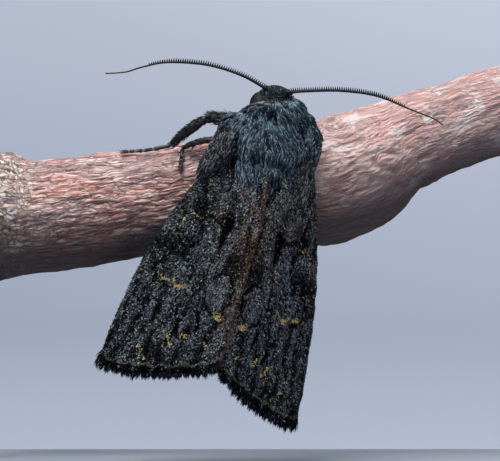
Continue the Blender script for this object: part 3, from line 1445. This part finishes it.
def barkRelief(x, angle, radius, height):
    # in mm: wavy wrinkles and finer cracks, a scaly swelling at the left end and a knot in front
    girth = Vector((math.cos(angle), math.sin(angle), 0)) * radius

    def noiseAt(along, across, shift=0.0):
        return noise.noise(Vector((x * along, girth.x * across + shift, girth.y * across + shift)))

    def ridged(value):
        return 1 - 2 * abs(value)

    def risen(start, run):
        return max(0.0, min(1.0, (x - start) / run))

    sway = noiseAt(0.30, 0.4) * 1.1
    right = risen(branch["rightStart"], 4)
    nodal = risen(branch["nodeEnd"], -2.2)
    wrinkle = ridged(noiseAt(0.22 + 0.30 * right, 1.5, sway))
    fine = ridged(noise.noise(Vector((x * 0.5 + 9, girth.x * 3.0 + sway * 2, girth.y * 3.0 + sway * 2))))
    bumps = noise.noise(Vector((x * 1.1, girth.x * 1.1, girth.y * 1.1 + 5)))
    relief = (wrinkle - 0.55) * branch["wrinkle"] * (1.2 + 0.8 * right) * (1 - 0.6 * nodal)
    relief += (fine - 0.55) * branch["crack"] * (1 - 0.4 * nodal)
    # the right-hand length is smoother past the swelling
    relief *= 1 - branch["smoothing"] * risen(branch["smoothStart"], 3.0)
    flakes = ridged(noiseAt(2.6, 2.6)) - 0.5
    relief += nodal * (bumps * branch["nodeBump"] + flakes * branch["nodeScale"])
    knotX, knotZ = branch["knotPlace"]
    apart = math.hypot((x - knotX) * 0.8, height - knotZ)
    knot = math.exp(-((apart / branch["knotReach"]) ** 2)) * (girth.x > 0)
    return relief + knot * (branch["knotRise"] + branch["knotRings"] * math.sin(apart * 6.5))


def buildBranch(bark, wood):
    path = curvePath([station[:3] for station in branch["stations"]], branch["along"])
    girths = np.array([branchRadius(spot[0] / mm) for spot in path])
    bm = tubeAlong(path, (0, 0, 1), branch["around"], lambda station, angle: girths[station] * mm)
    for end in (face for face in bm.faces if len(face.verts) > 8):
        end.material_index = 1
        for edge in end.edges:
            edge.smooth = False
    thing = finishObject("branch", bm, bark)
    mesh = thing.data
    mesh.materials.append(wood)
    ring = readAll(mesh.attributes["ring"].data, "value", 1, np.int32).ravel()
    angle = readAll(mesh.attributes["turn"].data, "value", 1).ravel()
    along, wide, high = pathFrames(path, (0, 0, 1))
    x, radius = path[ring, 0] / mm, girths[ring]
    folds = np.sin(5 * angle + 2.2 * np.sin(x * 0.35)) + 0.6 * np.sin(11 * angle - x * 0.9)
    rings = 0.4 * np.sin(x * 2.1 + 1.5 * np.sin(3 * angle))
    heights = path[ring, 2] / mm + radius * np.sin(angle)
    relief = np.array([barkRelief(*values) for values in zip(x, angle, radius, heights)])
    out = wide[ring] * np.cos(angle)[:, None] + high[ring] * np.sin(angle)[:, None]
    reach = radius + branch["fold"] * (folds + rings) / 2 + relief
    placeAll(mesh, path[ring] + out * (reach * mm)[:, None])
    girth = np.stack([x, radius * np.cos(angle), radius * np.sin(angle)], axis=1) * mm
    layer = mesh.attributes.new("barkPlace", "FLOAT_VECTOR", "POINT")
    layer.data.foreach_set("vector", girth.astype(np.float32).ravel())
    reliefMap = mesh.attributes.new("barkRelief", "FLOAT", "POINT")
    reliefMap.data.foreach_set("value", held(0.5 + relief / branch["reliefSpan"]).astype(np.float32))
    ridePiece(thing, "bark", "branch")


def barkMaterial():
    material, tree, shader = newMaterial("bark", 0.85)
    place = placeOf(tree, "barkPlace")
    relief = addNode(tree, "Attribute", {"attribute_name": "barkRelief"}).outputs["Fac"]
    axes = addNode(tree, "SeparateXYZ", Vector=place).outputs

    def pattern(name):
        stops, scale, along, detail, offset = barkPatterns[name]
        spot = scaled(tree, place, (along, 1.0, 1.0), offset)
        settings = {"Scale": scale, "Detail": detail, "Roughness": 0.65}
        return ramp(tree, patternOf(tree, spot, "Noise", settings), stops)

    def span(name):
        axis, low, high, most = barkSpans[name]
        return spanned(tree, axes[axis], low, high, most)

    def within(name, area):
        return combined(tree, "MULTIPLY", pattern(name), span(area))

    def cells(spot, name):
        # cells of uneven shades, the distance from their edges, and the edges' own shade
        scale, shades, edges = barkCells[name]
        cell = addNode(tree, "TexVoronoi", {"Scale": scale}, Vector=spot)
        shade = addNode(tree, "SeparateXYZ", Vector=cell.outputs["Color"]).outputs["X"]
        gap = patternOf(tree, spot, "Voronoi", {"Scale": scale, "feature": "DISTANCE_TO_EDGE"})
        return ramp(tree, shade, shades), gap, ramp(tree, gap, edges)

    sway = addNode(tree, "TexNoise", {"Scale": 700.0, "Detail": 3.0}, Vector=place)
    bend = addNode(tree, "VectorMath", {"operation": "MULTIPLY_ADD"})
    bend.inputs[1].default_value = (0.0016, 0.0009, 0.0009)
    tree.links.new(sway.outputs["Color"], bend.inputs[0])
    tree.links.new(place, bend.inputs[2])
    bent = bend.outputs[0]
    # the ground is cut in long flakes with dark cracks between them
    flakes, gap, cracks = cells(scaled(tree, bent, (0.20, 1.0, 1.0)), "flake")
    crusts, _, seams = cells(bent, "crust")
    colour = mixColours(tree, 1.0, pattern("ground"), flakes, "MULTIPLY")
    # laid over it in turn: a share and a colour each
    layers = (
        (pattern("fibre"), barkInk["fibre"]),
        (pattern("thread"), barkInk["thread"]),
        (cracks, barkInk["crack"]),
        (ramp(tree, relief, ((0.50, 0), (0.85, 0.36))), barkInk["crest"]),
        (within("whitish", "right"), barkInk["whitish"]),
        (within("rust", "right"), barkInk["rust"]),
        (span("even"), barkInk["even"]),
        (within("crust", "swelling"), mixColours(tree, 1.0, crusts, seams, "MULTIPLY")),
        (pattern("lichen"), barkInk["lichen"]),
        (span("underside"), barkInk["weathered"]),
    )
    for share, tint in layers:
        colour = mixColours(tree, share, colour, tint)
    tree.links.new(colour, shader.inputs["Base Color"])
    bumpFrom(tree, shader, gap, 1.0, 0.25 * mm)
    shader.inputs["Specular IOR Level"].default_value = 0.25
    return material


buildBranch(barkMaterial(), finish("cutWood", branch["wood"]))
print("branch done")


# Legs: one jointed form each, on the solids' own joints, with spurs, claws and a coat of short scales.
# Hip in the moth's frame, knee in the scene, ankle and toe by their place round the branch
legs = {
    "foreLeft": ((-1.5, 0.9, -1.7), (-2.95, 0.8, 27.40), (-5.2, 60), (-8.6, 69)),
    "foreRight": ((0.7, 0.6, -1.9), (3.7, -0.2, 26.2), (4.3, 46), (3.7, 76)),
    "midLeft": ((-1.6, -0.6, -2.0), (-2.4, 0.1, 25.8), (-4.4, 52), (-4.75, 30)),
    "midRight": ((1.0, -0.6, -2.0), (3.3, -0.5, 23.7), (3.1, -13), (3.1, -42)),
    "hindLeft": ((-1.3, -2.0, -2.0), (-2.2, -0.75, 22.9), (-2.5, -16), (-3.0, -48)),
    "hindRight": ((0.4, -2.0, -2.0), (2.1, -0.9, 22.1), (2.2, -28), (1.8, -58)),
}
leg = {
    "ankleClear": 0.45,
    "toeClear": 0.16,
    "femur": (0.30, 0.42, 0.38, 0.30),
    "tibia": (0.27, 0.34, 0.29, 0.19),
    "shinBow": 0.16,
    "footRadius": 0.115,
    "footBreaks": (0, 0.36, 0.56, 0.72, 0.86, 1.0),
    "footSag": 0.10,
    "slim": 0.6,
    "spurLength": 0.85,
    "spurPlaces": (0.62, 0.97),
    "clawLength": 0.26,
    "thornRadius": 0.05,
    "thornTip": 0.008,
    "thornSides": 8,
    "sides": 14,
    "hairs": 1900,
    "hairLength": (0.34, 0.66),
    "hairWidth": (0.06, 0.10),
    "hairSpread": 0.14,
    "paleShare": 0.24,
    "shares": (0.0, 0.5),
    "lift": 0.14,
    "flat": 0.5,
    "sink": 0.03,
    "up": (0.31, -0.87, 0.38),
    "finish": {
        "roughness": 0.5,
        "painted": "legColour",
        "grain": ("Noise", {"Scale": 9000.0, "Detail": 3.0}),
        "shades": ((0.35, 0.4), (0.7, 1.2)),
        "bump": (0.4, 0.03 * mm),
    },
}
legInk = {
    "shell": (0.010, 0.010, 0.012),
    "joint": (0.26, 0.23, 0.17),
    "hair": (0.011, 0.012, 0.014),
    "jointHair": (0.24, 0.22, 0.17),
    "paleHair": (0.15, 0.145, 0.135),
}


def limbTube(start, end, radii, bow, count=26):
    # a rounded length from start to end, its middle pushed out by bow
    shares = np.linspace(0, 1, count)
    line = np.array([start.lerp(end, share) for share in shares])
    path = (line + np.sin(shares * math.pi)[:, None] * np.array(bow)) * mm
    width = np.interp(shares, np.linspace(0, 1, len(radii)), radii)
    width = width * np.sqrt(held(np.minimum(shares, 1 - shares) * 14 + 0.06))
    tube = tubeAlong(path, leg["up"], leg["sides"], lambda station, angle: width[station] * mm)
    return path, tube, width


def jointRings(run, shift):
    # 1 at each joint of the foot, falling off quickly; run is 0 at the ankle and 1 at the toe
    return np.array([bell((run - share + shift) / 0.018) for share in leg["footBreaks"][1:]])


def hairRoots(path, radii, low, past, angle):
    # roots round a limb: low and past say how far along its path, radii how far out
    along, wide, high = pathFrames(path, leg["up"])
    out = wide[low] * np.cos(angle)[:, None] + high[low] * np.sin(angle)[:, None]
    line = path[low] + (path[low + 1] - path[low]) * past[:, None]
    return line + out * (radii * mm)[:, None], out, along[low]


def buildLeg(word, joints, shellMaterial, coatOfLeg, seed):
    hip, knee, ankle, toe = joints
    hip = Vector(moved(np.array([hip]) * mm, mothFrame)[0]) / mm
    knee = Vector(knee)
    ankle = branchSpot(*ankle, leg["ankleClear"])
    toe = branchSpot(*toe, leg["toeClear"])
    shin = (ankle - knee).normalized()
    foot = (toe - ankle).normalized()
    slim = leg["slim"] if "mid" in word else 1.0
    bm = bmesh.new()
    limbs, feet = [], []
    for start, end, part, bow in ((hip, knee, "femur", 0.0), (knee, ankle, "tibia", leg["shinBow"])):
        path, tube, width = limbTube(start, end, [radius * slim for radius in leg[part]], (0, -bow, bow))
        joinInto(bm, tube)
        limbs.append((path, width))
    sag = Vector((0, 0, -leg["footSag"]))
    breaks = leg["footBreaks"]
    for near, far in zip(breaks, breaks[1:]):
        start, end = (ankle.lerp(toe, share) + sag * math.sin(math.pi * share) for share in (near, far))
        radius = leg["footRadius"] * (1.15 - 0.3 * near) * (0.3 + 0.7 * slim)
        path, tube, _ = limbTube(start, end, (radius * 0.85, radius, radius * 1.2), (0, 0, 0), 12)
        joinInto(bm, tube)
        feet.append(path)
    across = foot.cross(Vector((0, -1, 0.3))).normalized()
    thorns = [(toe, foot + across * side + sag, leg["clawLength"]) for side in (0.75, -0.75)]
    if "fore" not in word:
        aside = shin.cross(Vector((0, 1, 0))).normalized()
        for share in leg["spurPlaces"]:
            root = knee.lerp(ankle, share)
            for side, size in ((0.5, 1.0), (-0.5, 0.75)):
                thorns.append((root, shin * 0.8 + aside * side, leg["spurLength"] * size))
    thick, thin, sides = (leg[part] for part in ("thornRadius", "thornTip", "thornSides"))
    for root, course, length in thorns:
        addSpike(bm, root * mm, course.normalized(), length * mm, thick, thin, sides)
    name = "leg" + word[0].upper() + word[1:]
    thing = finishObject(name, bm, shellMaterial)

    def alongFoot(spots):
        return (spots - np.array(ankle)) @ np.array(foot) / (toe - ankle).length

    spots = places(thing.data) / mm
    run = alongFoot(spots)
    near = np.linalg.norm(np.cross(spots - np.array(ankle), np.array(foot)), axis=1) < 0.35
    ring = (jointRings(run, 0.01).max(axis=0) * near * (run > 0.1))[:, None]
    paint(thing.data, "legColour", blended(legInk["shell"], legInk["joint"], ring))
    side = "left" if "Left" in word else "right"
    pair = word[: -len(side)].lower()
    ridePiece(thing, "leg", *[f"leg_{pair}_{side}_{part}" for part in ("femur", "tibia", "tarsus")])

    # hair on femur and tibia, finer on the foot
    dice = np.random.default_rng(seed)
    rows = []
    for (path, width), share, size in zip(limbs, (2, 3), (1.0, 0.72)):
        count = leg["hairs"] // share
        spot = dice.uniform(1, len(path) - 2, count)
        low = spot.astype(int)
        angle = dice.uniform(0, 2 * math.pi, count)
        roots = hairRoots(path, width[low] * 0.95, low, spot - low, angle)
        rows.append((*roots, np.full(count, size * slim)))
    for path in feet:
        count = leg["hairs"] // 14
        low = dice.integers(1, len(path) - 1, count)
        angle = dice.uniform(0, 2 * math.pi, count)
        roots = hairRoots(path, np.full(count, leg["footRadius"] * 0.9), low, np.zeros(count), angle)
        rows.append((*roots, np.full(count, 0.26)))
    roots, outs, lies, sizes = (np.concatenate(column) for column in zip(*rows))
    count = len(roots)
    lies = unit(lies + dice.normal(0, leg["hairSpread"], (count, 3)))
    length = dice.uniform(*leg["hairLength"], count) * sizes * mm
    width = dice.uniform(*leg["hairWidth"], count) * (0.4 + 0.6 * sizes) * mm
    ring = (jointRings(alongFoot(roots / mm), 0.02).sum(axis=0) * (sizes < 0.3))[:, None]
    dark = blended(np.array(legInk["hair"]) * dice.uniform(0.6, 2.2, (count, 1)), legInk["jointHair"], ring)
    isPale = dice.uniform(0, 1, (count, 1)) < leg["paleShare"]
    light = np.where(isPale, np.array(legInk["paleHair"]), dark * 1.8)
    around = (np.arctan2(outs[:, 2], outs[:, 1]) / math.pi + 1) / 2
    patch = np.stack([np.linspace(0.02, 0.98, count), around], axis=1)
    solidTufts(name + "Hair", roots, lies, outs, length, width, leg, dark, light, patch, coatOfLeg, "leg")


shell = finish("legShell", leg["finish"])
for seed, (word, joints) in enumerate(legs.items()):
    buildLeg(word, joints, shell, hairMaterial, 900 + seed)
print("legs done")


# Stand: a satin painted base and two brushed steel rods
stand = {
    "paint": {
        "roughness": 0.42,
        "grain": ("Noise", {"Scale": 90.0, "Detail": 4.0}),
        "shades": ((0.3, (0.155, 0.170, 0.200)), (0.7, (0.185, 0.200, 0.235))),
        "roughSpan": (0.36, 0.52),
        "relief": ("Noise", {"Scale": 1500.0, "Detail": 3.0}),
        "bump": (0.15, 0.04 * mm),
    },
    "steel": {
        "roughness": 0.3,
        "stretch": (1.0, 1.0, 0.03),
        "grain": ("Noise", {"Scale": 9000.0, "Detail": 3.0}),
        "shades": ((0.3, (0.46, 0.46, 0.48)), (0.7, (0.66, 0.66, 0.67))),
        "roughSpan": (0.24, 0.42),
        "bump": (0.1, 0.01 * mm),
        "sockets": {"Metallic": 1.0},
    },
}
steel = finish("brushedSteel", stand["steel"])
standFinishes = {
    "stand_base": finish("standPaint", stand["paint"]),
    "stand_rod_left": steel,
    "stand_rod_right": steel,
}
for name, material in standFinishes.items():
    nodes[name].data.materials.clear()
    nodes[name].data.materials.append(material)
print("stand done")


# Stage: a pale floor that curves up behind, soft light from above and a camera at the photo's angle
stage = {
    "floorSize": 1.6,
    "bend": 0.70,
    "bendRadius": 0.90,
    "floorColour": (0.100, 0.112, 0.137, 1),
    "glowSpans": (("Y", -0.2, 1.3, 0.55), ("Z", -0.03, 0.14, 0.30), ("X", -0.12, 0.12, 0.15)),
    "glow": (
        (0.0, (0.150, 0.170, 0.215)), (0.5, (0.300, 0.337, 0.422)), (0.8, (0.410, 0.445, 0.540)),
        (1.0, (0.520, 0.555, 0.650)),
    ),
    "sky": ((0.0, (0.04, 0.045, 0.055)), (0.45, (0.16, 0.18, 0.21)), (1.0, (0.60, 0.66, 0.75))),
    # place, size, watts and colour
    "lamps": {
        "keyLight": ((-0.10, -0.16, 0.36), 0.20, 2.6, (1.0, 0.98, 0.95)),
        "topLight": ((0.08, 0.12, 0.42), 0.30, 1.2, (0.88, 0.93, 1.0)),
        "fillLight": ((0.22, -0.34, 0.10), 0.20, 0.60, (0.92, 0.96, 1.0)),
    },
    "aim": (0, 0, 0.022),
    "cameraPlace": (0.0, -0.2521, 0.01936),
    "lens": 256.5,
}


def backdropMaterial():
    # the backdrop glows a little more with distance, with height and to the right, as in the photo
    material, tree, shader = newMaterial("backdrop", 0.9)
    shader.inputs["Base Color"].default_value = stage["floorColour"]
    shader.inputs["Emission Strength"].default_value = 1.0
    axes = addNode(tree, "SeparateXYZ", Vector=placeOf(tree)).outputs
    spans = [spanned(tree, axes[axis], *span, "SMOOTHSTEP") for axis, *span in stage["glowSpans"]]
    total = combined(tree, "ADD", combined(tree, "ADD", spans[0], spans[1]), spans[2])
    tree.links.new(ramp(tree, total, stage["glow"]), shader.inputs["Emission Color"])
    return material


def buildBackdrop():
    bm = bmesh.new()
    bmesh.ops.create_grid(bm, x_segments=2, y_segments=120, size=stage["floorSize"])
    bend, radius = stage["bend"], stage["bendRadius"]
    for vert in bm.verts:
        beyond = vert.co.y - bend
        if beyond > 0:
            angle = min(math.pi / 2, beyond / radius)
            vert.co.y = bend + radius * math.sin(angle)
            vert.co.z = radius * (1 - math.cos(angle)) + max(0.0, beyond - radius * math.pi / 2)
    finishObject("backdrop", bm, backdropMaterial())


def buildLights():
    world = bpy.data.worlds.new("studio")
    bpy.context.scene.world = world
    world.use_nodes = True
    tree = world.node_tree
    course = addNode(tree, "TexCoord").outputs["Generated"]
    height = addNode(tree, "SeparateXYZ", Vector=course).outputs["Z"]
    tree.links.new(ramp(tree, height, stage["sky"]), tree.nodes["Background"].inputs["Color"])
    for name, (place, size, power, colour) in stage["lamps"].items():
        lamp = bpy.data.lights.new(name, "AREA")
        lamp.size = size
        lamp.energy = power
        lamp.color = colour
        thing = addObject(name, lamp)
        thing.location = place
        aim = Vector(stage["aim"]) - Vector(place)
        thing.rotation_euler = aim.to_track_quat("-Z", "Y").to_euler()


def buildCamera():
    camera = bpy.data.cameras.new("camera")
    camera.lens = stage["lens"]
    camera.sensor_width = 36
    camera.clip_start = 0.01
    camera.clip_end = 10
    thing = addObject("camera", camera)
    thing.location = stage["cameraPlace"]
    thing.rotation_euler = (math.radians(90), 0, 0)
    bpy.context.scene.camera = thing
    bpy.context.scene.view_settings.view_transform = "Standard"


buildBackdrop()
buildLights()
buildCamera()
print("stage done")
